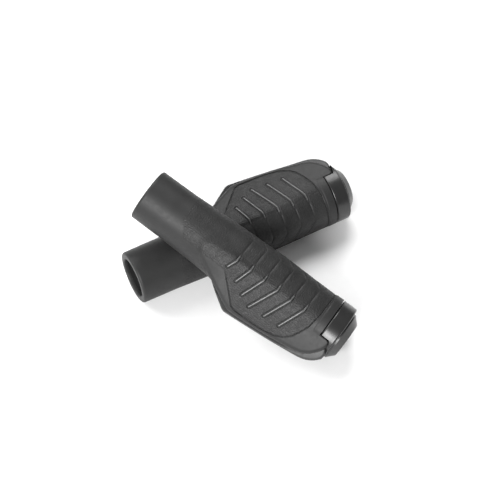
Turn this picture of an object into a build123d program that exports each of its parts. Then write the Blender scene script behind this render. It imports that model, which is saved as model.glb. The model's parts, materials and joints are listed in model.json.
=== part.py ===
from build123d import *
import os

# A pair of winged, lock-on handlebar grips: the left-hand one lies on the ground and the
# right-hand one lies across it. Millimetres throughout.
#
# Each piece is drawn once, in the frame of a right-hand grip: x runs along the bar from the
# open inner end (0) outwards, z points up out of the wing's top, and the wing reaches to -y.
# The left-hand grip is the mirror image.

# ---- bar fit and nylon sleeve ----
BORE_R = 11.15
SLEEVE_R = 12.55
SLEEVE_START = 2.0
SLEEVE_END = 125.0
RIB_R = 13.2
RIB_WIDTH = 2.0
RIB_STARTS = (9, 21, 33, 45, 57)
SLIT_WIDTH = 1.2
SLIT_LENGTH = 13.0
SLIT_COUNT = 4

# ---- outer form: x, half width in y, half height in z ----
BODY_STATIONS = (
    (0, 15.1, 15.1),
    (20, 15.15, 15.12),
    (40, 15.7, 15.5),
    (60, 16.6, 15.95),
    (80, 17.3, 16.3),
    (100, 16.95, 16.45),
    (120.2, 16.75, 16.6),
)
SEAM_X = BODY_STATIONS[-1][0]
END_ROUND = 0.9

# ---- wing ----
FLARE_START = (44.0, -9.0)
CREST_START = (62.0, 0.0)
WING_CORNER = (71.0, -25.6)
WING_CORNER_R = 2.5
EDGE_END = (117.0, -21.8)
TIP_MID = (124.9, -17.2)
TIP_END = (129.0, -12.2)
CREST = (1.0, 16.3)
WING_TOP_MID = (-14.0, 14.2)
WING_TOP_OUT = (-30.0, 9.3)
WING_BASE_OUT = (-30.0, 7.2)
WING_BASE_BEND = (-20.5, 4.6)
WING_BASE_ARC = (-16.9, 1.6)
WING_BASE_ROOT = (-15.3, -3.5)
BASE_THICK = 1.7
LIP = 0.7

# ---- soft palm pad let into the cover ----
PAD_DEPTH = 1.0
PAD_LOW_Z = -3.0
PAD_WING_LOW_Z = 8.0
PAD_OUTLINE = (
    (25.0, 22.0),
    (25.0, 2.0),
    (31.0, -6.5),
    (58.5, -6.5),
    (70.0, -18.0),
    (76.0, -22.0),
    (91.0, -22.4),
    (103.0, -20.0),
    (109.0, -14.5),
    (112.7, -6.3),
    (115.0, 1.0),
    (115.0, 22.0),
)
GROOVE_WIDTH = 1.0
GROOVE_DEPTH = 0.45
GROOVE_STARTS = ((59.2, -3.9), (67.4, -7.8), (74.2, -12.0), (80.9, -15.1), (90.4, -14.2), (99.9, -13.7))
GROOVE_FIRST_BEND_X = 61.4
GROOVE_PITCH = 8.9
GROOVE_BEND_Y = 1.2
GROOVE_KNEE_Y = 12.0
GROOVE_KNEE_BACK = 1.0
GROOVE_TAIL_Y = 17.5
GROOVE_TAIL_BACK = 4.0

# ---- nylon stiffener inside the wing ----
FRAME_START = 62.0
FRAME_END = 112.0
FRAME_R = 13.8
FRAME_PLATE = ((-11.0, 8.2), (-22.6, 10.3), (-22.9, 8.9), (-12.0, 6.8))
FRAME_PLAN = ((62.0, -8.0), (70.0, -22.6), (112.0, -20.0), (112.0, -8.0))
WINDOW_SIZE = (8.0, 4.0)
WINDOW_XS = (76.0, 88.0, 100.0)
WINDOW_Y = -17.5

# ---- clamp collar and its lug, under the wing's outer corner ----
COLLAR_START = 120.7
COLLAR_END = 129.2
COLLAR_IN_R = 12.65
COLLAR_OUT_R = 16.85
COLLAR_EDGE = 0.9
BAND_R = 14.3
COVER_TAIL_R = 14.5
SEAM_GAP = 0.5
SEAM_STEP_Y = -3.9
TAIL_X = 126.4
TAIL_FLOOR_Z = 6.0
TAIL_BASE_TOP = 7.7
LUG_OUT_Y = 18.9
LUG_END_X = 127.1
LUG_TOP_Z = 5.4
LUG_LOW_Z = -3.8
LUG_ROUND = 2.0
SPLIT_GAP = 1.6
BOLT_X = 123.8
BOLT_Y = -15.5

# ---- M3 clamp screw, washer and nut ----
SCREW_R = 1.5
SCREW_HOLE_R = 1.6
NUT_HOLE_R = 1.56
SCREW_LENGTH = 10.0
HEAD_R = 2.75
HEAD_HEIGHT = 3.0
HEAD_POCKET_R = 3.2
HEX_KEY = 2.5
HEX_DEPTH = 1.6
WASHER_R = 3.0
WASHER_THICK = 0.5
NUT_FLATS = 5.5
NUT_THICK = 2.4
NUT_SLACK = 0.1

# ---- bar-end cap ----
CAP_START = 129.4
CAP_RIM_R = 14.0
CAP_RIM_WIDTH = 0.9
CAP_END = 134.0
CAP_FACE_R = 10.1
CAP_DISH_R = 7.6
CAP_DISH_DEPTH = 0.5
SKIRT_START = 125.4
SKIRT_OUT_R = 12.45
SKIRT_IN_R = 11.35

# ---- how the two grips lie: place of the inner end's centre, then yaw, pitch and roll ----
LEFT_PLACE = (0.0, 0.0, 15.1)
LEFT_ANGLES = (0.0, -0.77, 10.2)
RIGHT_PLACE = (20.3, 19.4, 57.18)
RIGHT_ANGLES = (-59.3, 18.79, 35.7)


def tube(start, end, outer, inner=0.0):
    """A plain sleeve round the bar's axis."""
    with BuildPart() as result:
        with BuildSketch(Plane.YZ.offset(start)):
            Circle(outer)
            if inner:
                Circle(inner, mode=Mode.SUBTRACT)
        extrude(amount=end - start)
    return result.part


def prism(points, low, high):
    """A plan outline raised from z = low to z = high."""
    with BuildPart() as result:
        with BuildSketch(Plane.XY.offset(low)):
            with BuildLine():
                Polyline(*points, close=True)
            make_face()
        extrude(amount=high - low)
    return result.part


def slab(x_range, y_range, z_range):
    """A block between the given limits."""
    (x0, x1), (y0, y1), (z0, z1) = x_range, y_range, z_range
    return prism(((x0, y0), (x1, y0), (x1, y1), (x0, y1)), z0, z1)


def round_body(inset=0.0):
    """The barrel that the hand closes round."""
    with BuildPart() as result:
        for x, half_width, half_height in BODY_STATIONS:
            with BuildSketch(Plane.YZ.offset(x)):
                Ellipse(half_width - inset, half_height - inset)
        loft()
    return result.part


def wing_plan(lip=0.0):
    """The wing seen from above, with its edge moved out by lip."""
    with BuildSketch() as plan:
        with BuildLine():
            Polyline(FLARE_START, WING_CORNER, EDGE_END)
            ThreePointArc(EDGE_END, TIP_MID, TIP_END)
            Polyline(TIP_END, (TIP_END[0], 0), CREST_START, FLARE_START)
        make_face()
        corner = plan.vertices().sort_by_distance((*WING_CORNER, 0))[0]
        fillet(corner, WING_CORNER_R)
        if lip:
            offset(amount=lip)
    return plan.sketch


def across_wing(inset=0.0):
    """The wing's whole section, swept along the bar's axis."""
    with BuildPart() as result:
        with BuildSketch(Plane.YZ.offset(FLARE_START[0] - 1)):
            with BuildLine():
                ThreePointArc(
                    (CREST[0], CREST[1] - inset),
                    (WING_TOP_MID[0], WING_TOP_MID[1] - inset),
                    (WING_TOP_OUT[0], WING_TOP_OUT[1] - inset),
                )
                Line((WING_TOP_OUT[0], WING_TOP_OUT[1] - inset), WING_BASE_OUT)
                Line(WING_BASE_OUT, WING_BASE_BEND)
                ThreePointArc(WING_BASE_BEND, WING_BASE_ARC, WING_BASE_ROOT)
                Polyline(WING_BASE_ROOT, (0, WING_BASE_ROOT[1]), (CREST[0], CREST[1] - inset))
            make_face()
        extrude(amount=TIP_END[0] + 2 - FLARE_START[0])
    return result.part


def wing_solid(inset=0.0):
    """The wing, from the flare to the rounded outer corner."""
    with BuildPart() as result:
        with BuildSketch(Plane.XY.offset(-6)):
            add(wing_plan())
        extrude(amount=26)
        add(across_wing(inset), mode=Mode.INTERSECT)
    return result.part


def tail_plan(gap=0.0):
    """Where the cover runs on over the collar: its plan, grown by the seam's gap."""
    with BuildSketch() as plan:
        with BuildLine():
            Polyline(
                (SEAM_X - 1, SEAM_STEP_Y),
                (TAIL_X, SEAM_STEP_Y - 0.3),
                (TAIL_X + 1.2, -8.0),
                TIP_END,
                (TIP_END[0] + 1, -30.0),
                (SEAM_X - 1, -30.0),
                close=True,
            )
        make_face()
        if gap:
            offset(amount=gap)
    return plan.sketch


def outer_form(inset=0.0):
    """Barrel and wing together, up to the seam, and the tail over the collar."""
    with BuildPart() as result:
        add(wing_solid(inset))
        add(slab((SEAM_X, TIP_END[0] + 1), (-30, 20), (-20, TAIL_FLOOR_Z)), mode=Mode.SUBTRACT)
        add(slab((SEAM_X, TIP_END[0] + 1), (SEAM_STEP_Y - 0.3, 20), (-20, 30)), mode=Mode.SUBTRACT)
        add(beyond_tail(), mode=Mode.SUBTRACT)
        add(tube(SEAM_X, TIP_END[0] + 1, COVER_TAIL_R), mode=Mode.SUBTRACT)
        add(round_body(inset))
    return result.part


def beyond_tail():
    """The space past the tail's outer end."""
    with BuildPart() as result:
        with BuildSketch(Plane.XY.offset(-20)):
            add(slab_plan((SEAM_X, TIP_END[0] + 4), (-31, 20)))
            add(tail_plan(), mode=Mode.SUBTRACT)
        extrude(amount=50)
    return result.part


def slab_plan(x_range, y_range):
    """A rectangle between the given limits."""
    (x0, x1), (y0, y1) = x_range, y_range
    with BuildSketch() as plan:
        with BuildLine():
            Polyline((x0, y0), (x1, y0), (x1, y1), (x0, y1), close=True)
        make_face()
    return plan.sketch


def core_sleeve():
    """Nylon tube that slides over the bar, ribbed to key the rubber and slit under the clamp."""
    with BuildPart() as result:
        add(tube(SLEEVE_START, SLEEVE_END, SLEEVE_R))
        for start in RIB_STARTS:
            add(tube(start, start + RIB_WIDTH, RIB_R))
        add(tube(SLEEVE_START, SLEEVE_END, BORE_R), mode=Mode.SUBTRACT)
        with BuildSketch(Plane.YZ.offset(SLEEVE_END - SLIT_LENGTH)):
            with PolarLocations(SLEEVE_R, SLIT_COUNT, start_angle=45):
                Rectangle(2 * (SLEEVE_R - BORE_R) + 1, SLIT_WIDTH)
        extrude(amount=SLIT_LENGTH, mode=Mode.SUBTRACT)
    return result.part


def sleeve_envelope():
    """The sleeve with its bore and slits filled, to hollow what is moulded round it."""
    with BuildPart() as result:
        add(tube(SLEEVE_START, SLEEVE_END, SLEEVE_R))
        for start in RIB_STARTS:
            add(tube(start, start + RIB_WIDTH, RIB_R))
        add(tube(-1, SLEEVE_END, BORE_R))
    return result.part


def wing_frame():
    """Stiffener: a saddle clipped on the sleeve, with a plate out into the wing."""
    with BuildPart() as result:
        with BuildSketch(Plane.YZ.offset(FRAME_START)):
            with BuildLine():
                Polyline(*FRAME_PLATE, close=True)
            make_face()
        extrude(amount=FRAME_END - FRAME_START)
        add(prism(FRAME_PLAN, 0, 20), mode=Mode.INTERSECT)
        for x in WINDOW_XS:
            with BuildSketch(Plane((x, WINDOW_Y, 0))):
                RectangleRounded(*WINDOW_SIZE, 1.5)
            extrude(amount=20, mode=Mode.SUBTRACT)
        with BuildSketch(Plane.YZ.offset(FRAME_START)):
            Circle(FRAME_R)
            with Locations((FRAME_R, 0)):
                Rectangle(2 * FRAME_R - 6, 3 * FRAME_R, mode=Mode.SUBTRACT)
        extrude(amount=FRAME_END - FRAME_START)
        add(tube(FRAME_START, FRAME_END, SLEEVE_R), mode=Mode.SUBTRACT)
    return result.part


def palm_pad():
    """Softer textured inlay, from behind the crest to the front of the barrel."""
    with BuildPart() as result:
        add(outer_form())
        add(pad_region(), mode=Mode.INTERSECT)
        add(round_body(PAD_DEPTH), mode=Mode.SUBTRACT)
        add(wing_solid(PAD_DEPTH), mode=Mode.SUBTRACT)
        add(groove_cutters(), mode=Mode.SUBTRACT)
    return result.part


def pad_region():
    """All that lies over the pad's outline: the wing's top, the crest and the barrel's front."""
    with BuildPart() as result:
        add(prism(PAD_OUTLINE, PAD_LOW_Z, 30))
        add(slab((0, TIP_END[0]), (-30, 0), (PAD_LOW_Z, PAD_WING_LOW_Z)), mode=Mode.SUBTRACT)
    return result.part


def groove_cutters():
    """Six chevron grooves: out on the wing, over the crest and round the front."""
    with BuildPart() as result:
        with BuildSketch(Plane.XY.offset(PAD_LOW_Z - 2)):
            for count, start in enumerate(GROOVE_STARTS):
                bend_x = GROOVE_FIRST_BEND_X + count * GROOVE_PITCH
                with BuildLine():
                    Polyline(
                        start,
                        (bend_x, GROOVE_BEND_Y),
                        (bend_x - GROOVE_KNEE_BACK, GROOVE_KNEE_Y),
                        (bend_x - GROOVE_TAIL_BACK, GROOVE_TAIL_Y),
                    )
                trace(line_width=GROOVE_WIDTH)
        extrude(amount=30)
        add(round_body(GROOVE_DEPTH), mode=Mode.SUBTRACT)
        add(wing_solid(GROOVE_DEPTH), mode=Mode.SUBTRACT)
    return result.part


def wing_base():
    """Firm shell under the wing; its rim stands a little proud of the rubber as a lip."""
    with BuildPart() as result:
        with BuildSketch(Plane.YZ.offset(FLARE_START[0] - 1)):
            with BuildLine():
                Line(WING_BASE_OUT, WING_BASE_BEND)
                ThreePointArc(WING_BASE_BEND, WING_BASE_ARC, WING_BASE_ROOT)
                Line(WING_BASE_ROOT, (WING_BASE_ROOT[0] + BASE_THICK, WING_BASE_ROOT[1]))
                ThreePointArc(
                    (WING_BASE_ROOT[0] + BASE_THICK, WING_BASE_ROOT[1]),
                    (WING_BASE_ARC[0] + BASE_THICK * 0.75, WING_BASE_ARC[1] + BASE_THICK * 0.65),
                    (WING_BASE_BEND[0] + 0.5, WING_BASE_BEND[1] + BASE_THICK),
                )
                Polyline(
                    (WING_BASE_BEND[0] + 0.5, WING_BASE_BEND[1] + BASE_THICK),
                    (WING_BASE_OUT[0], WING_BASE_OUT[1] + BASE_THICK),
                    WING_BASE_OUT,
                )
            make_face()
        extrude(amount=SEAM_X + 1 - FLARE_START[0])
        add(slab((SEAM_X - 1.5, TIP_END[0] + 1), (-30, -8), (TAIL_FLOOR_Z, TAIL_BASE_TOP)))
        add(lip_prism(), mode=Mode.INTERSECT)
        add(beyond_tail(), mode=Mode.SUBTRACT)
        add(tube(SEAM_X - 2, TIP_END[0] + 2, COVER_TAIL_R), mode=Mode.SUBTRACT)
        add(round_body(), mode=Mode.SUBTRACT)
    return result.part


def lip_prism():
    """The lip's plan, raised through the whole wing."""
    with BuildPart() as result:
        with BuildSketch(Plane.XY.offset(-8)):
            add(wing_plan(LIP))
        extrude(amount=30)
    return result.part


def grip_cover(pad, frame, base):
    """Rubber over the sleeve and the wing, with room for the pieces moulded into it."""
    with BuildPart() as result:
        add(outer_form())
        inner_rim = result.edges().group_by(Axis.X)[0]
        fillet(inner_rim, END_ROUND)
        add(pad_region(), mode=Mode.SUBTRACT)
        add(pad_bed())
        add(sleeve_envelope(), mode=Mode.SUBTRACT)
        add(frame, mode=Mode.SUBTRACT)
        add(base, mode=Mode.SUBTRACT)
    return result.part


def pad_bed():
    """What is left of the rubber below the pad."""
    with BuildPart() as result:
        add(round_body(PAD_DEPTH))
        add(wing_solid(PAD_DEPTH))
        add(pad_region(), mode=Mode.INTERSECT)
    return result.part


def clamp_collar():
    """Split ring with two ears for the clamp screw, relieved where the cover runs over it."""
    with BuildPart() as result:
        add(tube(COLLAR_START, COLLAR_END, COLLAR_OUT_R))
        rims = result.edges().filter_by(GeomType.CIRCLE)
        fillet(rims, COLLAR_EDGE)
        with BuildSketch(Plane.XY.offset(TAIL_FLOOR_Z - 0.3)):
            add(tail_plan(SEAM_GAP))
        extrude(amount=30, mode=Mode.SUBTRACT)
        add(tube(COLLAR_START, COLLAR_END, BAND_R))
        with BuildSketch(Plane.XY.offset(LUG_LOW_Z)) as lug:
            add(slab_plan((COLLAR_START, LUG_END_X), (-LUG_OUT_Y, -SLEEVE_R)))
            fillet(lug.vertices().group_by(Axis.Y)[0], LUG_ROUND)
        extrude(amount=LUG_TOP_Z - LUG_LOW_Z)
        add(tube(COLLAR_START, COLLAR_END, COLLAR_IN_R), mode=Mode.SUBTRACT)
        add(
            slab((COLLAR_START - 1, COLLAR_END + 1), (-30, -8), (-SPLIT_GAP / 2, SPLIT_GAP / 2)),
            mode=Mode.SUBTRACT,
        )
        with BuildSketch(Plane((BOLT_X, BOLT_Y, LUG_LOW_Z))):
            Circle(SCREW_HOLE_R)
        extrude(amount=LUG_TOP_Z - LUG_LOW_Z, mode=Mode.SUBTRACT)
        with BuildSketch(Plane((BOLT_X, BOLT_Y, LUG_LOW_Z))):
            Circle(HEAD_POCKET_R)
        extrude(amount=-COLLAR_OUT_R, mode=Mode.SUBTRACT)
        with BuildSketch(Plane((BOLT_X, BOLT_Y, LUG_TOP_Z - NUT_THICK))):
            RegularPolygon(NUT_FLATS / 2 + NUT_SLACK, 6, major_radius=False, rotation=30)
        extrude(amount=NUT_THICK + 1, mode=Mode.SUBTRACT)
    return result.part


def clamp_nut():
    """Hex nut held in the upper ear."""
    with BuildPart() as result:
        with BuildSketch(Plane((BOLT_X, BOLT_Y, LUG_TOP_Z - NUT_THICK))):
            RegularPolygon(NUT_FLATS / 2, 6, major_radius=False, rotation=30)
            Circle(NUT_HOLE_R, mode=Mode.SUBTRACT)
        extrude(amount=NUT_THICK)
    return result.part


def clamp_washer():
    """Flat washer between the screw's head and the lower ear."""
    with BuildPart() as result:
        with BuildSketch(Plane((BOLT_X, BOLT_Y, LUG_LOW_Z - WASHER_THICK))):
            Circle(WASHER_R)
            Circle(SCREW_HOLE_R, mode=Mode.SUBTRACT)
        extrude(amount=WASHER_THICK)
    return result.part


def clamp_bolt():
    """Socket head cap screw, put in from below."""
    under_head = LUG_LOW_Z - WASHER_THICK
    with BuildPart() as result:
        with BuildSketch(Plane((BOLT_X, BOLT_Y, under_head - HEAD_HEIGHT))):
            Circle(HEAD_R)
        extrude(amount=HEAD_HEIGHT)
        chamfer(result.faces().sort_by(Axis.Z)[0].edges(), 0.3)
        with BuildSketch(Plane((BOLT_X, BOLT_Y, under_head))):
            Circle(SCREW_R)
        extrude(amount=SCREW_LENGTH)
        chamfer(result.faces().sort_by(Axis.Z)[-1].edges(), 0.3)
        with BuildSketch(Plane((BOLT_X, BOLT_Y, under_head - HEAD_HEIGHT))):
            RegularPolygon(HEX_KEY / 2, 6, major_radius=False)
        extrude(amount=HEX_DEPTH, mode=Mode.SUBTRACT)
    return result.part


def end_cap():
    """Bevelled cap whose skirt plugs into the collar's mouth and closes the bar's end."""
    with BuildPart() as result:
        with BuildSketch(Plane.XY):
            with BuildLine():
                Polyline(
                    (SKIRT_START, SKIRT_IN_R),
                    (SKIRT_START, SKIRT_OUT_R - 0.3),
                    (SKIRT_START + 0.5, SKIRT_OUT_R),
                    (CAP_START, SKIRT_OUT_R),
                    (CAP_START, CAP_RIM_R),
                    (CAP_START + CAP_RIM_WIDTH, CAP_RIM_R),
                    (CAP_END, CAP_FACE_R),
                    (CAP_END, CAP_DISH_R),
                    (CAP_END - CAP_DISH_DEPTH, CAP_DISH_R - 0.6),
                    (CAP_END - CAP_DISH_DEPTH, 0),
                    (CAP_START + 0.8, 0),
                    (CAP_START + 0.8, SKIRT_IN_R),
                    close=True,
                )
            make_face()
        revolve(axis=Axis.X)
    return result.part


def place(piece, side):
    """Lay one piece down with its grip, mirrored for the left hand."""
    position, (yaw, pitch, roll) = (
        (LEFT_PLACE, LEFT_ANGLES) if side == "left" else (RIGHT_PLACE, RIGHT_ANGLES)
    )
    if side == "left":
        piece = mirror(piece, about=Plane.XZ)
    return Pos(*position) * Rot(0, 0, yaw) * Rot(0, pitch, 0) * Rot(roll, 0, 0) * piece


def all_pieces():
    """Every piece of a right-hand grip, by name."""
    frame = wing_frame()
    base = wing_base()
    pad = palm_pad()
    return {
        "core_sleeve": core_sleeve(),
        "wing_frame": frame,
        "grip_cover": grip_cover(pad, frame, base),
        "palm_pad": pad,
        "wing_base": base,
        "clamp_collar": clamp_collar(),
        "clamp_nut": clamp_nut(),
        "clamp_washer": clamp_washer(),
        "clamp_bolt": clamp_bolt(),
        "end_cap": end_cap(),
    }


os.makedirs("parts", exist_ok=True)
pieces = all_pieces()
placed = {}
for side in ("left", "right"):
    for name, piece in pieces.items():
        placed[f"{side}_{name}"] = place(piece, side)

whole = Compound(children=[Compound(piece.solids()) for piece in placed.values()]).bounding_box()
middle = Pos(-(whole.min.X + whole.max.X) / 2, -(whole.min.Y + whole.max.Y) / 2, -whole.min.Z)
for node, piece in placed.items():
    with BuildPart() as laid:
        add(middle * piece)
    laid.part.label = node
    export_step(laid.part, f"parts/{node}.step")
print("moved by", middle.position)
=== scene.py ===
import json
import math
from collections import namedtuple

import bpy
import numpy as np
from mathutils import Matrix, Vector


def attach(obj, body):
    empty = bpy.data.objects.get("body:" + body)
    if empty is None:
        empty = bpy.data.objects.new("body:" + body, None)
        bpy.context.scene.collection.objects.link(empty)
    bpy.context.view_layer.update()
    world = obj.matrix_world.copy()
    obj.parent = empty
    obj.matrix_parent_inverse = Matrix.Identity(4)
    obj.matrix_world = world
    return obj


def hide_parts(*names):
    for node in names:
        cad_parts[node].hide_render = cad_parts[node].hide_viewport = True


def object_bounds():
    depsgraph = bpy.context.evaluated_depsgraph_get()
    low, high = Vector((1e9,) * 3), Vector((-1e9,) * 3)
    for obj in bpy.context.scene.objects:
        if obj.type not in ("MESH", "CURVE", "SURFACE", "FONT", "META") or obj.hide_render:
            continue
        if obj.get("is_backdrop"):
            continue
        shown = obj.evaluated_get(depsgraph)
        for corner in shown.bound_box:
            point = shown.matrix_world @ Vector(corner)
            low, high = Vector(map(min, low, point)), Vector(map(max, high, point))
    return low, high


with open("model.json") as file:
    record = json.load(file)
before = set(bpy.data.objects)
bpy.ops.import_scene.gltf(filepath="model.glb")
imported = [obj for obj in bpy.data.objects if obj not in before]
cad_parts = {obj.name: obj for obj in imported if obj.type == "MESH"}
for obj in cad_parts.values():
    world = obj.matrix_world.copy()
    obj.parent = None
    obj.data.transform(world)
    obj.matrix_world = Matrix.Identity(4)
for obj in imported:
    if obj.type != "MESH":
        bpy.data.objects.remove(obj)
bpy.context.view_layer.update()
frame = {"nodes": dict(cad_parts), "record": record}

MM = 0.001
FAR = 1e9
TINY = 1e-12
SIDES = ("left", "right")
SEEDS = {"left": 11, "right": 12}

# All sizes below are mm in a grip's own frame: x along the bar from the open end, y across the
# bar with the wing at negative y, z towards the wing's top.

# ---- barrel of the rubber: half width and half height at each x ----
BODY_X = (0, 20, 40, 60, 80, 100, 120.2)
BODY_HALF_Y = (15.1, 15.15, 15.7, 16.6, 17.3, 16.95, 16.75)
BODY_HALF_Z = (15.1, 15.12, 15.5, 15.95, 16.3, 16.45, 16.6)
SEAM_X = 120.2
BORE_R = 11.15
SLEEVE_R = 12.55
SLEEVE_START = 2.0
SLEEVE_GAP = 0.05
TUBE_MIDDLE = 60.0
RIM_ROUND = 1.3
BORE_ROUND = 0.9
QUARTER_STEPS = 6

# ---- wing: plan outlines of its skin and of its rim ----
SKIN_OUTLINE = (
    (40.0, 4.0),
    (44.0, -9.4),
    (70.6, -23.2),
    (73.6, -24.2),
    (90.0, -23.2),
    (104.9, -21.4),
    (115.0, -19.8),
    (119.2, -18.4),
    (122.6, -15.7),
    (125.6, -12.0),
    (127.9, -8.0),
    (127.9, 4.0),
)
RIM_OUTLINE = (
    (40.0, 4.0),
    (44.0, -9.0),
    (55.5, -16.6),
    (69.0, -25.2),
    (70.8, -26.0),
    (73.0, -26.1),
    (97.9, -24.3),
    (108.2, -23.2),
    (115.0, -22.4),
    (119.0, -21.7),
    (122.8, -20.5),
    (126.3, -18.1),
    (128.9, -15.0),
    (129.3, -12.2),
    (128.6, -9.8),
    (127.2, -8.0),
    (127.2, 4.0),
)
CORNER_CUTS = 2
TOP_POINTS = ((1.0, 16.3), (-14.0, 14.2), (-30.0, 9.3))
RISE_START = 44.0
RISE_END = 62.0
RISE_DROP = 1.7
BASE_CURVE_Y = (-30.0, -25.0, -20.5, -18.6, -16.9, -15.9, -15.3, -14.6)
BASE_CURVE_Z = (7.2, 5.9, 4.6, 3.4, 1.6, -0.8, -3.5, -7.0)
SKIN_GAP = 0.35

# ---- how the wing's skin is rounded and runs into the barrel ----
SKIN_EDGE_BLEND = 2.6
SKIN_UNDER_SHARE = 0.6
SKIN_UNDER_BLEND = 0.8
ROOT_BLEND = 2.4
ROOT_HEIGHT = 6
FLARE_BLEND = 3.2
FLARE_START = 50
FLARE_LENGTH = 26
LEAST_BLEND = 0.35

# ---- sections of the cover: (start, end, spacing) in x, and in degrees round each section ----
SECTION_STOPS = ((RIM_ROUND, 24, 0.8), (24, 116.5, 0.25), (116.5, SEAM_X, 0.35))
ANGLE_STOPS = ((-180, -120, 5.0), (-120, -88, 2.0), (-88, -50, 0.6), (-50, 116, 0.85), (116, 180, 5.0))
CENTRE_START = 42
CENTRE_LENGTH = 24
CENTRE_Y = -5.5
CENTRE_Z = 3.0
RAY_REACH = 40.0
HALVINGS = 22
INSIDE_POINT = (0, -3.0, 2.0)

# ---- the skin's tail over the collar ----
SEAM_EDGE = ((120.2, -4.0), (124.8, -4.2), (126.2, -4.9), (127.2, -7.9))
TAIL_OVERLAP = 0.02
TAIL_END = 127.1
TAIL_COLUMNS = 40
TAIL_POINTS = 40
TAIL_UNDER_STEP = 4
TAIL_LEAST_WIDTH = 0.15
TAIL_LEAST_THICK = 0.4
TAIL_FLOOR_Z = 7.6
TAIL_EDGE_R = 2.2
TAIL_SEAM_WIDTH = 0.35
TAIL_SEAM_DROP = 0.3
TAIL_SIDE_Y = -3
COLLAR_CLEAR_R = 14.5

# ---- firm shell under the wing, with its rim ----
RIM_THICK = 1.7
RIM_FLOOR_Z = 5.6
RIM_FLOOR_START = 116.5
RIM_FLOOR_LENGTH = 4.0
RIM_FLOOR_BLEND = 0.4
RIM_BELOW_TOP = 3.0
RIM_TIP_START = 104
RIM_TIP_LENGTH = 18.0
RIM_TIP_EDGE_R = 1.5
RIM_EDGE_R = 0.7
RIM_UNDER_SHARE = 0.35
BASE_START_X = 50
BASE_EDGE_Y = -7.0
BASE_ROOT_Y = -12.5
BASE_SPOKES = 330
BASE_ROWS = 34
BASE_FAN_X = 118.5
BASE_FAN_LENGTH = 8.0
BASE_FAN_FRONT_Y = -21.5
BASE_FAN_SWING = 4.0

# ---- palm pad: plan outline and edge ----
PAD_OUTLINE = (
    (25.0, 2.0),
    (31.0, -6.5),
    (58.5, -6.5),
    (70.4, -18.4),
    (72.6, -21.0),
    (76.0, -21.9),
    (92.0, -21.5),
    (100.7, -20.0),
    (106.0, -17.4),
    (109.0, -14.4),
    (111.3, -9.9),
    (113.4, -4.5),
    (114.9, 6.0),
)
PLAN_STEP = 2.0
PAD_START_X = 25.0
PAD_END_X = 115.0
PAD_FRONT = 31.0
PAD_RECESS = 0.32
SKIRT_DEPTH = 1.0
SNAP = 0.17
GUTTER_DEPTH = 0.35
GUTTER_WIDTH = 0.55
GUTTER_INSET = 0.28
BOLD_START = 54
BOLD_LENGTH = 14
BOLD_LEAST = 0.15

# ---- stipple of the pad; jitter and dot size are shares of the pitch ----
STIPPLE_PITCH = 1.05
STIPPLE_HEIGHT = 0.15
STIPPLE_JITTER = 0.28
STIPPLE_DOT = 0.55
STIPPLE_TABLE = 256

# ---- grooves across the pad: two channels beside a rib, then one channel down the front ----
GROOVE_STARTS = ((59.2, -3.9), (67.4, -7.8), (74.2, -12.0), (80.9, -15.1), (90.4, -14.2), (99.9, -13.7))
GROOVE_BEND_X = 61.4
GROOVE_BEND_Y = 1.5
GROOVE_PITCH = 8.9
GROOVE_KNEE_ARC = 18.3
GROOVE_KNEE_BACK = -0.5
GROOVE_TAIL_ARC = 29.0
GROOVE_TAIL_BACK = 6.0
GROOVE_SIDE = 0.86
GROOVE_DEPTH = 0.34
GROOVE_SPREAD = 0.32
GROOVE_LONE_SPREAD = 0.42
GROOVE_REACH = 1.35
RIB_HALF = 0.34
RIB_HEIGHT = 0.32
RIB_EDGE = 0.3
RIB_MARGIN = 0.12
RIB_LEAST_CORNERS = 2.2
RIB_FADE_BEFORE = 1.0
RIB_FADE_LENGTH = 9.0
CALM_START = 1.0
CALM_LENGTH = 0.4

# ---- raised band before the seam, on the side away from the wing ----
BAND_START = 115.9
BAND_EDGE = 0.5
BAND_RISE = 0.22
BAND_SIDE_Y = -5.0
BAND_FADE = 2.5

# ---- meshes and finishes ----
SHARP_ANGLE = 38
PAD_SHARP_ANGLE = 60
NOISE_MIDDLE = (0.25, 0.75)
NOISE_ROUGHNESS = 0.55
COLOUR_NOISE = (0.12, 4)
GLOSS_NOISE = (0.6, 3)
GRAIN_DETAIL = 2
NODE_FINISHES = {
    "core_sleeve": "core_nylon",
    "wing_frame": "core_nylon",
    "clamp_collar": "collar_nylon",
    "clamp_nut": "zinc_steel",
    "clamp_washer": "zinc_steel",
    "clamp_bolt": "black_steel",
    "end_cap": "cap_plastic",
}

# ---- studio, in metres, watts and degrees: each light's place, edge length and power ----
LIGHTS = {
    "key": ((-0.57, -0.50, 0.52), 0.36, 11),
    "top": ((0.25, 0.48, 0.87), 0.5, 7),
    "fill": ((-0.5, 0.6, 0.8), 0.7, 8),
}
LIGHT_AIM = (0, 0, 0.03)
SURROUND_STRENGTH = 0.35
FLOOR_SIZE = 8
FLOOR_Z = -0.0005
VIEW_AZIMUTH = -27.5
VIEW_ELEVATION = 54.5
VIEW_DISTANCE = 0.996
VIEW_LENS = 131.7
SENSOR_WIDTH = 36
AIM_OFFSET = (-0.0079, 0.0069, 0.0017)

Surface = namedtuple("Surface", "grid normals arcs far in_pad paths")


def circle_through(a, b, c):
    """Centre and radius of the circle through three points."""
    ax, ay = a
    bx, by = b
    cx, cy = c
    d = 2 * (ax * (by - cy) + bx * (cy - ay) + cx * (ay - by))
    ux = ((ax**2 + ay**2) * (by - cy) + (bx**2 + by**2) * (cy - ay) + (cx**2 + cy**2) * (ay - by)) / d
    uy = ((ax**2 + ay**2) * (cx - bx) + (bx**2 + by**2) * (ax - cx) + (cx**2 + cy**2) * (bx - ax)) / d
    return ux, uy, math.hypot(ax - ux, ay - uy)


TOP_Y, TOP_Z, TOP_R = circle_through(*TOP_POINTS)


def smooth(t):
    """Eases from 0 to 1."""
    t = np.clip(t, 0, 1)
    return t * t * (3 - 2 * t)


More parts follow.
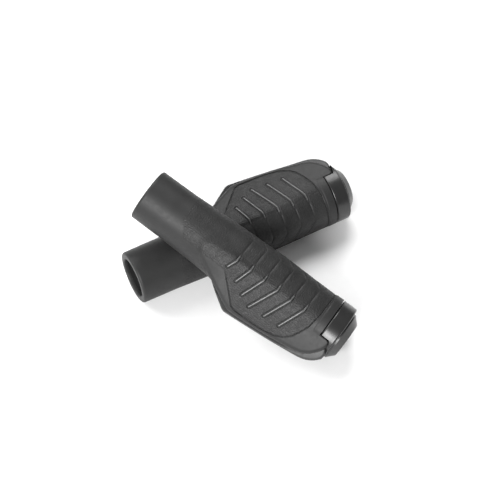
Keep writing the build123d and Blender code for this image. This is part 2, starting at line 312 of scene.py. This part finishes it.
def soft_max(a, b, k):
    """The larger of two fields, rounded where they meet."""
    h = np.clip(0.5 - 0.5 * (b - a) / k, 0, 1)
    return b * (1 - h) + a * h + k * h * (1 - h)


def soft_min(a, b, k):
    """The smaller of two fields, blended where they meet."""
    return -soft_max(-a, -b, k)


def round_drop(distance, width, depth):
    """How far a rounded edge has dropped at a distance in from it."""
    turn = np.clip(1 - distance / width, 0, 1)
    return depth * (1 - np.sqrt(np.maximum(1 - turn**2, 0)))


def to_outline(x, y, points):
    """Signed distance to a closed outline, negative inside, and the nearest point on it."""
    x = np.asarray(x, dtype=float)
    y = np.asarray(y, dtype=float)
    best = np.full(x.shape, FAR)
    near_x = np.zeros(x.shape)
    near_y = np.zeros(x.shape)
    inside = np.zeros(x.shape, dtype=bool)
    for (x0, y0), (x1, y1) in zip(points, points[1:] + points[:1]):
        dx, dy = x1 - x0, y1 - y0
        t = np.clip(((x - x0) * dx + (y - y0) * dy) / (dx * dx + dy * dy), 0, 1)
        px, py = x0 + t * dx, y0 + t * dy
        d = (x - px) ** 2 + (y - py) ** 2
        closer = d < best
        best = np.where(closer, d, best)
        near_x = np.where(closer, px, near_x)
        near_y = np.where(closer, py, near_y)
        crosses = (y0 > y) != (y1 > y)
        at = x0 + (y - y0) / (dy if dy else TINY) * dx
        inside ^= crosses & (x < at)
    return np.where(inside, -1.0, 1.0) * np.sqrt(best), near_x, near_y


def cut_corners(points, rounds):
    """Rounds a closed outline by cutting its corners."""
    for _ in range(rounds):
        after = points[1:] + points[:1]
        first = [(0.75 * a[0] + 0.25 * b[0], 0.75 * a[1] + 0.25 * b[1]) for a, b in zip(points, after)]
        second = [(0.25 * a[0] + 0.75 * b[0], 0.25 * a[1] + 0.75 * b[1]) for a, b in zip(points, after)]
        points = tuple(p for pair in zip(first, second) for p in pair)
    return points


SKIN_EDGE = cut_corners(SKIN_OUTLINE, CORNER_CUTS)
RIM_EDGE = cut_corners(RIM_OUTLINE, CORNER_CUTS)


def wing_top(x, y):
    """Height of the wing's top; it sinks into the barrel towards the inner end."""
    arc = TOP_Z + np.sqrt(np.maximum(TOP_R**2 - (y - TOP_Y) ** 2, 0))
    return arc - RISE_DROP * (1 - smooth((x - RISE_START) / (RISE_END - RISE_START)))


def base_curve(y):
    """Height of the wing's underside."""
    return np.interp(y, BASE_CURVE_Y, BASE_CURVE_Z)


def cover_field(x, y, z):
    """Negative inside the rubber: the barrel blended with the wing's top skin."""
    half_y = np.interp(x, BODY_X, BODY_HALF_Y)
    half_z = np.interp(x, BODY_X, BODY_HALF_Z)
    barrel = (np.sqrt((y / half_y) ** 2 + (z / half_z) ** 2) - 1) * half_z
    edge = to_outline(x, y, SKIN_EDGE)[0]
    wing = soft_max(z - wing_top(x, y), edge, SKIN_EDGE_BLEND)
    underside = base_curve(y) + SKIN_GAP + RIM_THICK * SKIN_UNDER_SHARE
    wing = soft_max(wing, underside - z, SKIN_UNDER_BLEND)
    root = ROOT_BLEND * smooth((ROOT_HEIGHT - z) / ROOT_HEIGHT)
    flare = FLARE_BLEND * (1 - smooth((x - FLARE_START) / FLARE_LENGTH))
    return soft_min(barrel, wing, LEAST_BLEND + np.maximum(root, flare))


def section_centre(x):
    """The point each section's rays start from; it moves into the wing's root."""
    t = smooth((x - CENTRE_START) / CENTRE_LENGTH)
    return CENTRE_Y * t, CENTRE_Z * t


def on_cover(x, angle):
    """Where the rays at these angles leave the rubber, found by halving."""
    cy, cz = section_centre(x)
    uy, uz = np.sin(angle), np.cos(angle)
    low = np.zeros(np.shape(angle))
    high = np.full(np.shape(angle), RAY_REACH)
    for _ in range(HALVINGS):
        mid = (low + high) / 2
        inside = cover_field(x, cy + mid * uy, cz + mid * uz) < 0
        low = np.where(inside, mid, low)
        high = np.where(inside, high, mid)
    return np.stack([x, cy + low * uy, cz + low * uz], axis=-1)


def spaced(stops):
    """Values from stop to stop, with the spacing given for each stretch."""
    out = []
    for start, end, step in stops:
        count = max(1, round((end - start) / step))
        out += list(np.linspace(start, end, count, endpoint=False))
    return np.array(out + [stops[-1][1]])


def cover_grid():
    """The cover's outer surface from just past the inner rim to the seam."""
    radian = math.pi / 180
    angles = spaced([tuple(value * radian for value in stop) for stop in ANGLE_STOPS])
    x, a = np.meshgrid(spaced(SECTION_STOPS), angles, indexing="ij")
    return x, a, on_cover(x, a)


def arc_lengths(points):
    """Arc length along each section, counted from above the bar's axis."""
    steps = np.linalg.norm(np.diff(points, axis=1), axis=2)
    along = np.concatenate([np.zeros((len(points), 1)), np.cumsum(steps, axis=1)], axis=1)
    out = np.empty_like(along)
    for i, row in enumerate(points):
        top = row[:, 2] > 0
        zero = np.interp(0.0, row[top, 1], along[i, top])
        out[i] = along[i] - zero
    return out


def normals_of(points):
    """Outward unit normals of a grid of points."""
    du = np.gradient(points, axis=0)
    dv = np.gradient(points, axis=1)
    n = np.cross(dv, du)
    n /= np.linalg.norm(n, axis=2, keepdims=True) + TINY
    away = (points - np.array(INSIDE_POINT)) * np.array([0, 1, 1])
    return n if np.sum(n * away) > 0 else -n


def arc_at(grid, arcs, x, y):
    """Arc length of a plan point on the top of the cover."""
    i = int(np.clip(np.searchsorted(grid[:, 0, 0], x), 1, len(grid) - 1))
    x0, x1 = grid[i - 1, 0, 0], grid[i, 0, 0]
    t = (x - x0) / (x1 - x0)
    values = []
    for j in (i - 1, i):
        row = grid[j]
        first = int(np.argmin(row[:, 1]))
        last = int(np.argmax(row[:, 1]))
        values.append(np.interp(y, row[first : last + 1, 1], arcs[j, first : last + 1]))
    return values[0] * (1 - t) + values[1] * t


def densify(points, step):
    """Points set along a polyline no further apart than step."""
    out = []
    for (x0, y0), (x1, y1) in zip(points, points[1:]):
        count = max(1, math.ceil(math.hypot(x1 - x0, y1 - y0) / step))
        out += [(x0 + (x1 - x0) * i / count, y0 + (y1 - y0) * i / count) for i in range(count)]
    return out + [points[-1]]


def in_arcs(grid, arcs, plan):
    """A plan polyline turned into x and arc length."""
    return [(x, float(arc_at(grid, arcs, x, y))) for x, y in densify(plan, PLAN_STEP)]


def pad_arc_outline(grid, arcs):
    """The pad's outline in x and arc length."""
    line = in_arcs(grid, arcs, PAD_OUTLINE)
    return tuple([(PAD_START_X, PAD_FRONT)] + line + [(PAD_END_X, PAD_FRONT)])


def groove_paths(grid, arcs):
    """Each groove as a polyline in x and arc length: up the wing, over the crest, down the front."""
    paths = []
    for i, start in enumerate(GROOVE_STARTS):
        bend = GROOVE_BEND_X + i * GROOVE_PITCH
        path = in_arcs(grid, arcs, (start, (bend, GROOVE_BEND_Y)))
        path.append((bend - GROOVE_KNEE_BACK, GROOVE_KNEE_ARC))
        path.append((bend - GROOVE_TAIL_BACK, GROOVE_TAIL_ARC))
        paths.append(path)
    return paths


def to_path(x, s, path):
    """Distance to a polyline."""
    best = np.full(x.shape, FAR)
    for (x0, s0), (x1, s1) in zip(path, path[1:]):
        dx, ds = x1 - x0, s1 - s0
        t = np.clip(((x - x0) * dx + (s - s0) * ds) / (dx * dx + ds * ds), 0, 1)
        best = np.minimum(best, np.hypot(x - x0 - t * dx, s - s0 - t * ds))
    return best


def rib_share(s, path):
    """How much of a groove is rib: all of it up the wing, none once past the bend."""
    bend = path[-3][1]
    return 1 - smooth((s - bend + RIB_FADE_BEFORE) / RIB_FADE_LENGTH)


def groove_relief(x, s, paths):
    """The pad's relief at its grooves, and how much of a groove is there."""
    relief = np.zeros(x.shape)
    there = np.zeros(x.shape)
    for path in paths:
        d = to_path(x, s, path)
        split = rib_share(s, path)
        channel = np.exp(-(((d - GROOVE_SIDE * split) / GROOVE_SPREAD) ** 2))
        channel = np.maximum(channel, (1 - split) * np.exp(-((d / GROOVE_LONE_SPREAD) ** 2)))
        rib = split * (1 - smooth((d - RIB_HALF) / RIB_EDGE))
        value = RIB_HEIGHT * rib - GROOVE_DEPTH * channel * (1 - rib)
        stronger = (d < GROOVE_REACH) & (np.abs(value) > np.abs(relief))
        relief = np.where(stronger, value, relief)
        there = np.maximum(there, 1 - smooth((d - CALM_START) / CALM_LENGTH))
    return relief, there


def corner_sum(values):
    """The sum of a grid's values at each quad's four corners."""
    return values[:-1, :-1] + values[1:, :-1] + values[1:, 1:] + values[:-1, 1:]


def rib_highlight_quads(x, s, paths):
    """The pad's quads that lie on a rib; they get the smoother rib finish whose lighter colour is a
    painted highlight.
    """
    ribs = np.zeros(x.shape)
    for path in paths:
        near = to_path(x, s, path) < RIB_HALF + RIB_MARGIN
        ribs = np.maximum(ribs, near * rib_share(s, path))
    return corner_sum(ribs) > RIB_LEAST_CORNERS


def stipple(x, s, rng):
    """Fine rounded dots, set out on a jittered grid."""
    u, v = x / STIPPLE_PITCH, s / STIPPLE_PITCH
    iu, iv = np.floor(u).astype(int), np.floor(v).astype(int)
    shift = rng.uniform(-STIPPLE_JITTER, STIPPLE_JITTER, (STIPPLE_TABLE, STIPPLE_TABLE, 2))
    best = np.full(x.shape, FAR)
    for a in (-1, 0, 1):
        for b in (-1, 0, 1):
            ju, jv = iu + a, iv + b
            cu = ju + 0.5 + shift[ju % STIPPLE_TABLE, jv % STIPPLE_TABLE, 0]
            cv = jv + 0.5 + shift[ju % STIPPLE_TABLE, jv % STIPPLE_TABLE, 1]
            best = np.minimum(best, np.hypot(u - cu, v - cv))
    return STIPPLE_HEIGHT * (1 - smooth(best / STIPPLE_DOT))


class Shell:
    """Collects points and faces of one mesh."""

    def __init__(self):
        self.points = []
        self.faces = []
        self.count = 0

    def add_mesh(self, points, faces):
        """Adds points and the faces between them."""
        self.points.append(points)
        self.faces.append(faces + self.count)
        self.count += len(points)

    def add_grid(self, grid, keep=None):
        """Adds a grid of points as quads; keep picks the quads."""
        nu, nv = grid.shape[:2]
        a, b = np.meshgrid(np.arange(nu - 1), np.arange(nv - 1), indexing="ij")
        quads = np.stack([a * nv + b, (a + 1) * nv + b, (a + 1) * nv + b + 1, a * nv + b + 1], axis=-1)
        if keep is not None:
            quads = quads[keep]
        self.add_mesh(grid.reshape(-1, 3), quads.reshape(-1, 4))

    def arrays(self):
        """All points and all faces, with unused points dropped."""
        points = np.concatenate(self.points)
        faces = np.concatenate(self.faces)
        used = np.unique(faces)
        index = np.full(len(points), -1)
        index[used] = np.arange(len(used))
        return points[used], index[faces]


def skirt(points, faces, normals, depth):
    """Turns the open border of a sheet down by depth."""
    edges = np.concatenate([faces[:, [i, (i + 1) % 4]] for i in range(4)])
    key = np.sort(edges, axis=1)
    _, first, count = np.unique(key, axis=0, return_index=True, return_counts=True)
    border = edges[first[count == 1]]
    rim = np.unique(border)
    index = np.full(len(points), -1)
    index[rim] = len(points) + np.arange(len(rim))
    low = points[rim] - normals[rim] * depth
    wall = np.stack([border[:, 1], border[:, 0], index[border[:, 0]], index[border[:, 1]]], axis=1)
    return np.concatenate([points, low]), np.concatenate([faces, wall])


def skirted(grid, normals, keep):
    """The kept quads of a grid, facing outwards, with their border turned down."""
    shell = Shell()
    shell.add_grid(grid[::-1], keep=keep[::-1])
    used = np.unique(shell.faces[0])
    points, faces = shell.arrays()
    return skirt(points, faces, normals[::-1].reshape(-1, 3)[used], SKIRT_DEPTH)


def grip_frame(side):
    """A grip's own origin and axes in the row frame, from its bore mount and its screw."""
    record = frame["record"]
    mount = next(m for m in record["mounts"] if m["name"] == f"{side}_bar_bore")
    screw = next(j for j in record["behaviour"]["joints"] if j["name"] == f"{side}_screw_turn")
    along = -np.array(mount["axis"], dtype=float)
    along /= np.linalg.norm(along)
    up = -np.array(screw["axis"], dtype=float)
    up /= np.linalg.norm(up)
    origin = np.array(mount["pos_m"]) - along * mount["dims"]["length_mm"] * MM / 2
    across = np.cross(up, along)
    if side == "left":
        across = -across
    return origin, np.stack([along, across, up])


def make_piece(side, part, points, faces, slot_name, finishes, sharp=SHARP_ANGLE):
    """Makes the mesh that replaces one part, from points in a grip's own frame, in mm."""
    origin, axes = grip_frame(side)
    placed = origin + points @ axes * MM
    if side == "left":
        faces = faces[:, ::-1]
    name = f"{side}_{part}_form"
    mesh = bpy.data.meshes.new(name)
    mesh.from_pydata(placed.tolist(), [], faces.tolist())
    mesh.update()
    mesh.polygons.foreach_set("use_smooth", [True] * len(mesh.polygons))
    mesh.set_sharp_from_angle(angle=math.radians(sharp))
    mesh.materials.append(finishes[slot_name])
    piece = bpy.data.objects.new(name, mesh)
    bpy.context.scene.collection.objects.link(piece)
    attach(piece, f"{side}_grip")
    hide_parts(f"{side}_{part}")
    return piece


def snapped(x, a, grid, arcs, outline):
    """Moves the grid points nearest to the pad's outline onto it; also how far out each point is."""
    far, near_x, near_s = to_outline(x, arcs, outline)
    close = np.abs(far) < SNAP
    close[0] = close[-1] = False
    new_x, new_a = x.copy(), a.copy()
    new_x[close] = near_x[close]
    rows = np.searchsorted(x[:, 0], near_x[close]).clip(1, len(x) - 1)
    for n, (i, j) in enumerate(zip(*np.nonzero(close))):
        r = rows[n]
        t = (near_x[i, j] - x[r - 1, 0]) / (x[r, 0] - x[r - 1, 0])
        row = arcs[r - 1] * (1 - t) + arcs[r] * t
        new_a[i, j] = np.interp(near_s[i, j], row, a[0])
    moved = grid.copy()
    moved[close] = on_cover(new_x[close], new_a[close])
    far[close] = 0
    return moved, far


def cover_surface():
    """The outer surface that cover and pad share, with the pad's outline let into its grid."""
    x, a, grid = cover_grid()
    arcs = arc_lengths(grid)
    outline = pad_arc_outline(grid, arcs)
    paths = groove_paths(grid, arcs)
    grid, far = snapped(x, a, grid, arcs, outline)
    return Surface(grid, normals_of(grid), arc_lengths(grid), far, corner_sum(far) < 0, paths)


def make_pad(side, surface, finishes, rng):
    """The pad: its stippled face with the grooves, and a skirt down into the cover."""
    x, arcs = surface.grid[..., 0], surface.arcs
    relief, there = groove_relief(x, arcs, surface.paths)
    bold = BOLD_LEAST + (1 - BOLD_LEAST) * smooth((x - BOLD_START) / BOLD_LENGTH)
    gutter = GUTTER_DEPTH * np.exp(-(((-surface.far - GUTTER_INSET) / (GUTTER_WIDTH / 2)) ** 2))
    lift = relief - (PAD_RECESS + gutter) * bold + stipple(x, arcs, rng) * (1 - there)
    face = surface.grid + surface.normals * lift[..., None]
    points, faces = skirted(face, surface.normals, surface.in_pad)
    piece = make_piece(side, "palm_pad", points, faces, "pad_rubber", finishes, PAD_SHARP_ANGLE)
    # The rib faces take a second finish: smoother than the pad, and lighter in colour as a painted
    # highlight along each rib.
    piece.data.materials.append(finishes["pad_rib_painted_highlight"])
    on_rib_highlight = rib_highlight_quads(x, arcs, surface.paths)[::-1][surface.in_pad[::-1]]
    kinds = np.zeros(len(faces), dtype=int)
    kinds[: len(on_rib_highlight)] = on_rib_highlight
    piece.data.polygons.foreach_set("material_index", kinds.tolist())


def band_rise(grid):
    """The low raised band before the seam."""
    x, y = grid[..., 0], grid[..., 1]
    rise = smooth((x - BAND_START + BAND_EDGE / 2) / BAND_EDGE)
    return BAND_RISE * rise * smooth((y - BAND_SIDE_Y) / BAND_FADE)


def rim_profile():
    """The rolled inner end as x and radius: round the rim, into the bore, and along the sleeve."""
    outer = BODY_HALF_Z[0]
    inner = BORE_R + BORE_ROUND
    seat = SLEEVE_START - SLEEVE_GAP
    turns = [math.pi / 2 * i / QUARTER_STEPS for i in range(QUARTER_STEPS + 1)]
    profile = [(RIM_ROUND * (1 - math.sin(t)), outer - RIM_ROUND * (1 - math.cos(t))) for t in turns[1:]]
    profile += [(BORE_ROUND * (1 - math.cos(t)), inner - BORE_ROUND * math.sin(t)) for t in turns]
    return profile + [(seat, BORE_R), (seat, SLEEVE_R), (TUBE_MIDDLE, SLEEVE_R), (SEAM_X, SLEEVE_R)]


def rim_rings(first_ring):
    """The rim's profile turned round the bar, at the angles of the cover's first section."""
    unit = first_ring[:, 1:] / np.linalg.norm(first_ring[:, 1:], axis=1, keepdims=True)
    return np.array([np.column_stack([np.full(len(unit), x), unit * r]) for x, r in rim_profile()])


def outline_y(points, x):
    """The outer y of an outline at x, on its wing side."""
    wing = [p for p in points if p[1] < TAIL_SIDE_Y]
    return np.interp(x, [p[0] for p in wing], [p[1] for p in wing])


def tail_section(x):
    """One closed section of the tail: over its top from the seam, and back underneath."""
    y_in = np.interp(x, [p[0] for p in SEAM_EDGE], [p[1] for p in SEAM_EDGE])
    y_out = min(outline_y(SKIN_EDGE, x), y_in - TAIL_LEAST_WIDTH)
    ys = y_in + (y_out - y_in) * np.sin(np.linspace(0, math.pi / 2, TAIL_POINTS))
    edge = -to_outline(np.full(ys.shape, x), ys, SKIN_EDGE)[0]
    drop = round_drop(edge, TAIL_EDGE_R, TAIL_EDGE_R)
    drop = drop + round_drop(y_in - ys, TAIL_SEAM_WIDTH, TAIL_SEAM_DROP)
    top = wing_top(x, ys) - drop
    floor = np.maximum(np.sqrt(np.maximum(COLLAR_CLEAR_R**2 - ys**2, 0)), TAIL_FLOOR_Z)
    low = np.minimum(floor, top - TAIL_LEAST_THICK)
    section = [(x, y, z) for y, z in zip(ys, top)]
    section += [(x, y, z) for y, z in zip(ys[::-TAIL_UNDER_STEP], low[::-TAIL_UNDER_STEP])]
    return section + [(x, ys[0], low[0]), section[0]]


def tail_grid():
    """The skin that runs on past the seam over the collar."""
    xs = np.linspace(SEAM_X - TAIL_OVERLAP, TAIL_END, TAIL_COLUMNS)
    return np.array([tail_section(x) for x in xs])[:, ::-1]


def make_cover(side, surface, finishes):
    """The rubber cover: its face round the pad, its rolled end and inner tube, and its tail."""
    outer = surface.grid + surface.normals * band_rise(surface.grid)[..., None]
    shell = Shell()
    shell.add_mesh(*skirted(outer, surface.normals, ~surface.in_pad))
    shell.add_grid(np.concatenate([outer[:1], rim_rings(surface.grid[0]), outer[-1:]]))
    shell.add_grid(tail_grid())
    points, faces = shell.arrays()
    make_piece(side, "grip_cover", points, faces, "cover_rubber", finishes)


def along_line(points, share):
    """The points at these shares of a polyline's length."""
    line = np.array(points, dtype=float)
    steps = np.concatenate([[0], np.cumsum(np.linalg.norm(np.diff(line, axis=0), axis=1))])
    at = share * steps[-1]
    return np.stack([np.interp(at, steps, line[:, i]) for i in range(2)], axis=-1)


def base_plan():
    """Plan points of the firm shell, in spokes from its root to its rim; they fan out at the tip."""
    line = [p for p in RIM_EDGE if p[1] < BASE_EDGE_Y and p[0] > BASE_START_X]
    outer = along_line(line, np.linspace(0, 1, BASE_SPOKES))
    past = np.clip((outer[:, 0] - BASE_FAN_X) / BASE_FAN_LENGTH, 0, 1) * (outer[:, 1] > BASE_FAN_FRONT_Y)
    swing = np.maximum.accumulate(past)
    inner = np.stack([np.minimum(outer[:, 0], BASE_FAN_X), BASE_ROOT_Y + BASE_FAN_SWING * swing], axis=-1)
    reach = np.sin(np.linspace(0, math.pi / 2, BASE_ROWS))[None, :, None]
    return inner[:, None] + (outer - inner)[:, None] * reach


def base_heights(x, y):
    """Heights of the firm shell's two faces; its rim grows thicker towards the tip."""
    edge = np.abs(to_outline(x, y, RIM_EDGE)[0])
    edge[:, -1] = 0
    floor = RIM_FLOOR_Z * smooth((x - RIM_FLOOR_START) / RIM_FLOOR_LENGTH)
    under = soft_max(base_curve(y), floor, RIM_FLOOR_BLEND)
    tip = smooth((x - RIM_TIP_START) / RIM_TIP_LENGTH)
    radius = RIM_EDGE_R + (RIM_TIP_EDGE_R - RIM_EDGE_R) * tip
    drop = round_drop(edge, radius, radius)
    thin = under + RIM_THICK + SKIN_GAP
    thick = np.maximum(wing_top(x, y) - RIM_BELOW_TOP, thin)
    return thin + (thick - thin) * tip - drop, under + RIM_UNDER_SHARE * drop


def section_loops(x, y, upper, lower):
    """Closed sections: out along the upper face and back along the lower one."""
    out = np.stack([x, y, upper], axis=-1)
    back = np.stack([x, y, lower], axis=-1)[:, ::-1]
    return np.concatenate([out, back, out[:, :1]], axis=1)


def make_base(side, finishes):
    """The firm shell under the wing, turned out round its edge as a rim and closed at both ends."""
    plan = base_plan()
    x, y = plan[..., 0], plan[..., 1]
    top, low = base_heights(x, y)
    middle = (top + low) / 2
    loops = section_loops(x, y, top, low)
    ends = section_loops(x, y, middle, middle)
    shell = Shell()
    shell.add_grid(np.concatenate([ends[:1], loops, ends[-1:]])[:, ::-1])
    points, faces = shell.arrays()
    make_piece(side, "wing_base", points, faces, "base_plastic", finishes)


class Finish:
    """Builds one procedural material."""

    def __init__(self, name):
        self.slot = name
        self.material = bpy.data.materials.new(f"{name}_finish")
        self.material.use_nodes = True
        self.tree = self.material.node_tree
        self.shader = self.tree.nodes["Principled BSDF"]
        where = self.tree.nodes.new("ShaderNodeTexCoord")
        scale = self.tree.nodes.new("ShaderNodeMapping")
        scale.inputs["Scale"].default_value = (1 / MM, 1 / MM, 1 / MM)
        self.tree.links.new(where.outputs["Object"], scale.inputs["Vector"])
        self.place = scale.outputs["Vector"]

    def noise(self, per_mm, detail):
        """Noise with that many cycles to a millimetre."""
        node = self.tree.nodes.new("ShaderNodeTexNoise")
        node.inputs["Scale"].default_value = per_mm
        node.inputs["Detail"].default_value = detail
        node.inputs["Roughness"].default_value = NOISE_ROUGHNESS
        self.tree.links.new(self.place, node.inputs["Vector"])
        return node.outputs["Fac"]

    def spread(self, value, low, high):
        """Maps the middle of a noise to a range of numbers."""
        node = self.tree.nodes.new("ShaderNodeMapRange")
        node.inputs["From Min"].default_value = NOISE_MIDDLE[0]
        node.inputs["From Max"].default_value = NOISE_MIDDLE[1]
        node.inputs["To Min"].default_value = low
        node.inputs["To Max"].default_value = high
        self.tree.links.new(value, node.inputs["Value"])
        return node.outputs["Result"]

    def colours(self, value, dark, light):
        """Colour between two shades."""
        node = self.tree.nodes.new("ShaderNodeMix")
        node.data_type = "RGBA"
        node.inputs["A"].default_value = (*dark, 1)
        node.inputs["B"].default_value = (*light, 1)
        self.tree.links.new(value, node.inputs["Factor"])
        self.tree.links.new(node.outputs["Result"], self.shader.inputs["Base Color"])

    def rough(self, value, low, high):
        """Roughness between two numbers."""
        self.tree.links.new(self.spread(value, low, high), self.shader.inputs["Roughness"])

    def bump(self, value, height_mm):
        """Fine relief, height in mm."""
        node = self.tree.nodes.new("ShaderNodeBump")
        node.inputs["Distance"].default_value = height_mm * MM
        node.inputs["Strength"].default_value = 1.0
        self.tree.links.new(value, node.inputs["Height"])
        self.tree.links.new(node.outputs["Normal"], self.shader.inputs["Normal"])


def grey(level):
    """A neutral grey."""
    return (level, level, level)


def plain_finish(name, dark, light, rough, grain, relief, metallic=0.0, specular=0.5):
    """A surface with slightly uneven colour and roughness and a fine grain."""
    finish = Finish(name)
    finish.colours(finish.spread(finish.noise(*COLOUR_NOISE), 0, 1), dark, light)
    finish.rough(finish.noise(*GLOSS_NOISE), *rough)
    finish.bump(finish.noise(grain, GRAIN_DETAIL), relief)
    finish.shader.inputs["Metallic"].default_value = metallic
    finish.shader.inputs["Specular IOR Level"].default_value = specular
    return finish


def make_finishes():
    """Every material, by the record's slot; the ribs have one of their own, smoother than the pad and
    lighter in colour as a painted highlight.
    """
    zinc_dark, zinc_light = (0.55, 0.56, 0.57), (0.68, 0.68, 0.68)
    made = (
        plain_finish("cover_rubber", grey(0.015), grey(0.020), (0.46, 0.56), 6.0, 0.015, specular=0.3),
        plain_finish("pad_rubber", grey(0.010), grey(0.020), (0.40, 0.58), 1.3, 0.16, specular=0.28),
        plain_finish("base_plastic", grey(0.020), grey(0.027), (0.42, 0.52), 3.0, 0.012),
        plain_finish("core_nylon", grey(0.010), grey(0.016), (0.38, 0.5), 2.0, 0.012, specular=0.15),
        plain_finish("collar_nylon", grey(0.010), grey(0.014), (0.27, 0.34), 1.5, 0.006),
        plain_finish("cap_plastic", grey(0.010), grey(0.015), (0.30, 0.40), 2.4, 0.010),
        plain_finish("black_steel", grey(0.05), grey(0.08), (0.30, 0.42), 3.0, 0.006, metallic=1.0),
        plain_finish("zinc_steel", zinc_dark, zinc_light, (0.24, 0.36), 3.0, 0.006, metallic=1.0),
        # The ribs' finish: its lower roughness is real smooth rubber, and its much lighter grey is a
        # painted highlight along each rib.
        plain_finish("pad_rib_painted_highlight", grey(0.050), grey(0.070), (0.30, 0.36), 3.0, 0.008),
    )
    return {finish.slot: finish.material for finish in made}


def dress_nodes(finishes):
    """Gives every CAD node that stays its finish."""
    for side in SIDES:
        for part, slot_name in NODE_FINISHES.items():
            node = frame["nodes"][f"{side}_{part}"]
            node.data.materials.clear()
            node.data.materials.append(finishes[slot_name])


def area_light(name, place, size, power):
    """A soft square light at place, turned to the grips."""
    lamp = bpy.data.lights.new(name, "AREA")
    lamp.energy = power
    lamp.shape = "RECTANGLE"
    lamp.size = size
    lamp.size_y = size
    holder = bpy.data.objects.new(name, lamp)
    holder.location = place
    holder.rotation_euler = (Vector(LIGHT_AIM) - Vector(place)).to_track_quat("-Z", "Y").to_euler()
    bpy.context.scene.collection.objects.link(holder)
    holder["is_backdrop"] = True


def studio():
    """Pale floor, soft lights and a pale surround."""
    bpy.ops.mesh.primitive_plane_add(size=FLOOR_SIZE, location=(0, 0, FLOOR_Z))
    floor = bpy.context.object
    floor.name = "floor"
    paper = plain_finish("floor_paper", grey(0.84), grey(0.86), (0.8, 0.9), 0.5, 0.005)
    floor.data.materials.append(paper.material)
    floor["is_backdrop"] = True
    world = bpy.data.worlds.new("studio")
    world.use_nodes = True
    surround = world.node_tree.nodes["Background"]
    surround.inputs["Color"].default_value = (1, 1, 1, 1)
    surround.inputs["Strength"].default_value = SURROUND_STRENGTH
    bpy.context.scene.world = world
    for name, (place, size, power) in LIGHTS.items():
        area_light(name, place, size, power)


def camera():
    """The view: looking down from the front left."""
    lens = bpy.data.cameras.new("camera")
    lens.lens = VIEW_LENS
    lens.sensor_width = SENSOR_WIDTH
    eye = bpy.data.objects.new("camera", lens)
    low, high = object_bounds()
    aim = (Vector(low) + Vector(high)) / 2 + Vector(AIM_OFFSET)
    azimuth, elevation = math.radians(VIEW_AZIMUTH), math.radians(VIEW_ELEVATION)
    ahead = Vector((-math.sin(azimuth), math.cos(azimuth), 0)) * math.cos(elevation)
    ahead.z = -math.sin(elevation)
    eye.location = aim - ahead * VIEW_DISTANCE
    eye.rotation_euler = ahead.to_track_quat("-Z", "Y").to_euler()
    bpy.context.scene.collection.objects.link(eye)
    bpy.context.scene.camera = eye


def main():
    """Builds everything that is seen."""
    finishes = make_finishes()
    for side in SIDES:
        surface = cover_surface()
        make_pad(side, surface, finishes, np.random.default_rng(SEEDS[side]))
        make_cover(side, surface, finishes)
        make_base(side, finishes)
    dress_nodes(finishes)
    studio()
    camera()
    bpy.context.scene.view_settings.view_transform = "Standard"


main()
